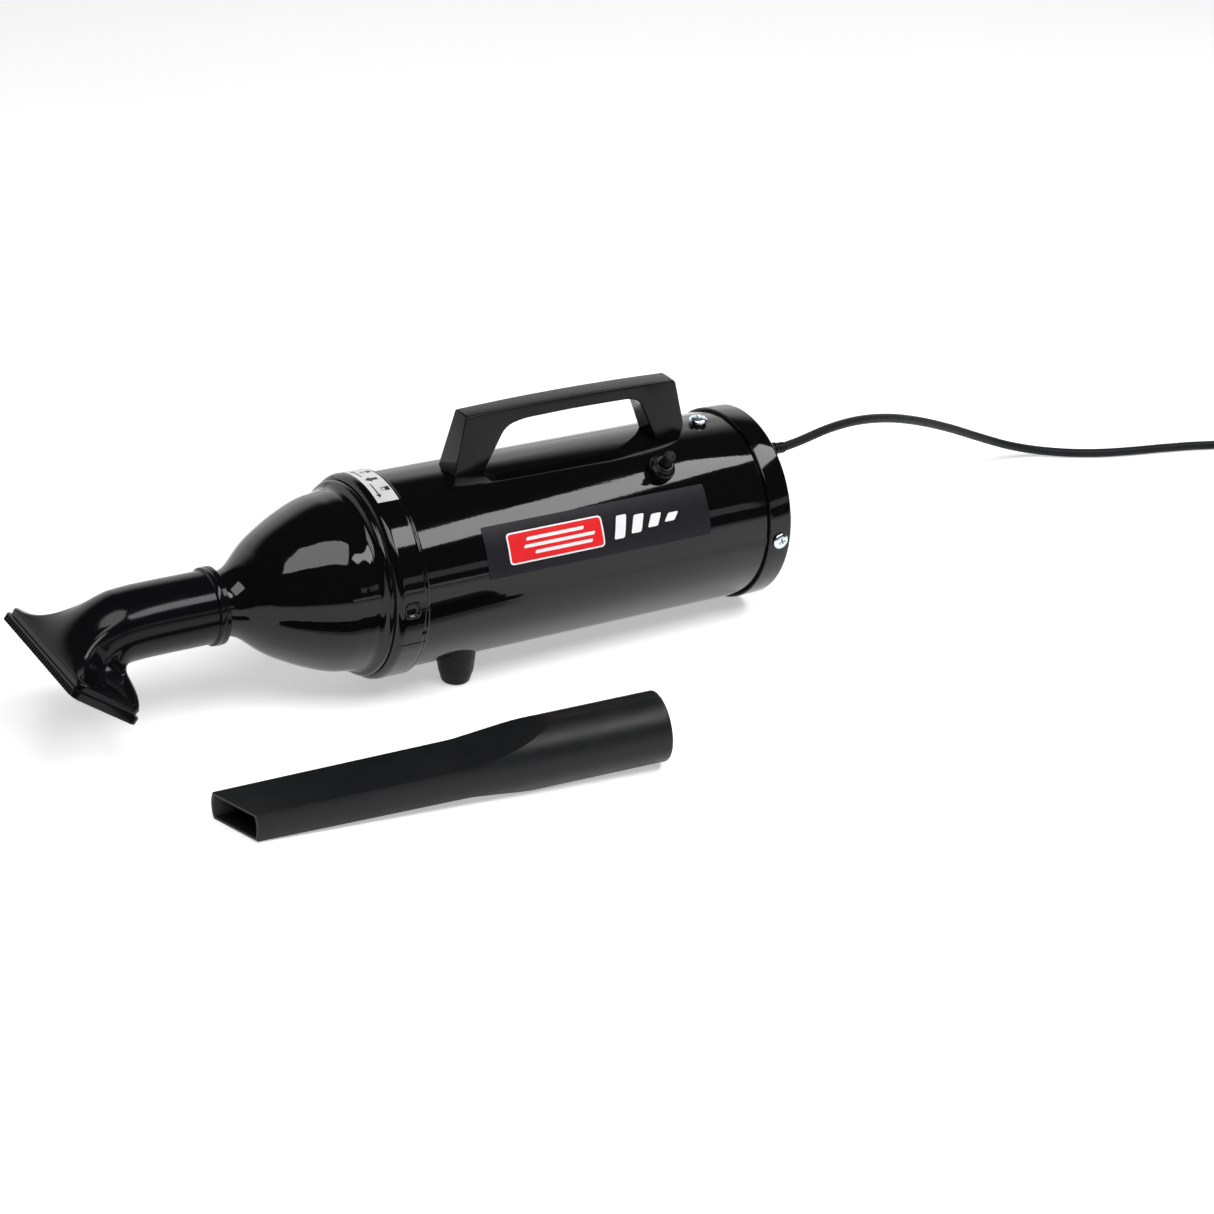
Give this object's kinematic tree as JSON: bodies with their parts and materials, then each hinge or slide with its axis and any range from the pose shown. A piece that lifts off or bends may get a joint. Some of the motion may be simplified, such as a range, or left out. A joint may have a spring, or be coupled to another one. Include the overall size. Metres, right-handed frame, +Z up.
{
  "type": "handheld vacuum cleaner",
  "caption": "Corded canister-style hand vacuum with top handle, twist-lock domed nose, swivelling pick-up nozzle, loose crevice tool and coiled mains lead.",
  "frame": {"origin": "on the floor, under the middle of the vacuum and its crevice tool together, the lead left out", "axes": "+X runs from the nozzle to the rear cap and the cord, +Y to the side away from the switch, +Z up from the floor"},
  "size_m": [0.8589, 0.2154, 0.138],
  "materials": {
    "enamel": "gloss black stoved enamel",
    "gloss_plastic": "polished black moulding",
    "satin_plastic": "satin black moulding",
    "rubber": "black rubber",
    "cord_rubber": "matte dark grey cord jacket",
    "zinc": "bright zinc plate",
    "steel": "turned and pressed steel",
    "lamination": "stacked steel laminations",
    "aluminium": "pressed aluminium",
    "copper": "enamelled copper wire and copper bars",
    "brass": "brass",
    "carbon": "pressed carbon",
    "white_plastic": "white moulding",
    "bag_paper": "creased filter paper",
    "label_film": "white vinyl label with plain marks",
    "decal_film": "charcoal vinyl decal with a red panel"
  },
  "bodies": {
    "housing": {"housing_tube": "enamel", "rear_cap": "enamel", "cap_screw_near": "zinc", "cap_screw_far": "zinc", "top_screw": "zinc", "handle": "gloss_plastic", "handle_screw_front": "zinc", "handle_screw_rear": "zinc", "foot_near": "rubber", "foot_far": "rubber", "foot_screw_near": "zinc", "foot_screw_far": "zinc", "switch_body": "satin_plastic", "switch_nut": "rubber", "body_decal": "decal_film", "inlet_guard": "steel", "fan_shroud": "aluminium", "diffuser": "aluminium", "bracket_front": "aluminium", "bracket_rear": "aluminium", "bearing_front": "steel", "bearing_rear": "steel", "mount_ring_front": "rubber", "mount_ring_rear": "rubber", "motor_bolt_a": "steel", "motor_bolt_b": "steel", "stator_core": "lamination", "field_coil_top": "copper", "field_coil_bottom": "copper", "brush_holder_near": "brass", "brush_holder_far": "brass", "carbon_brush_near": "carbon", "carbon_brush_far": "carbon", "brush_spring_near": "steel", "brush_spring_far": "steel", "strain_relief": "rubber", "cord_lead": "cord_rubber", "cord_coil": "cord_rubber", "cord_tail": "cord_rubber", "plug_body": "rubber", "plug_blade_left": "brass", "plug_blade_right": "brass"},
    "rotor": {"motor_shaft": "steel", "fan_first": "aluminium", "fan_second": "aluminium", "fan_nut": "steel", "fan_spacer": "steel", "armature_core": "lamination", "armature_windings": "copper", "commutator": "copper"},
    "button": {"switch_plunger": "rubber"},
    "nose": {"nose_dome": "enamel", "lock_ring": "enamel", "lock_label": "label_film", "nose_gasket": "rubber", "bag_collar": "white_plastic", "dust_bag": "bag_paper"},
    "nozzle": {"pickup_nozzle": "gloss_plastic"},
    "crevice_tool": {"crevice_tool": "satin_plastic"}
  },
  "joints": [
    {"name": "motor_spin", "type": "hinge", "parent": "housing", "child": "rotor", "pos_m": [-0.01871, 0.0503, 0.05783], "axis": [0.9997, 0, -0.0251], "continuous": true},
    {"name": "switch_press", "type": "slide", "parent": "housing", "child": "button", "axis": [-0.0208, 0.5592, -0.8288], "range_m": [0, 0.003], "stiffness_N_per_m": 300, "springref_m": -0.001},
    {"name": "nose_twist", "type": "hinge", "parent": "housing", "child": "nose", "pos_m": [-0.01871, 0.0503, 0.05783], "axis": [0.9997, 0, -0.0251], "range_deg": [-25, 0]},
    {"name": "nozzle_swivel", "type": "hinge", "parent": "nose", "child": "nozzle", "pos_m": [-0.01871, 0.0503, 0.05783], "axis": [0.9997, 0, -0.0251], "continuous": true},
    {"name": "crevice_tool_lift", "type": "slide", "parent": "housing", "child": "crevice_tool", "axis": [0, 0, 1], "range_m": [0, 0.15]}
  ]
}
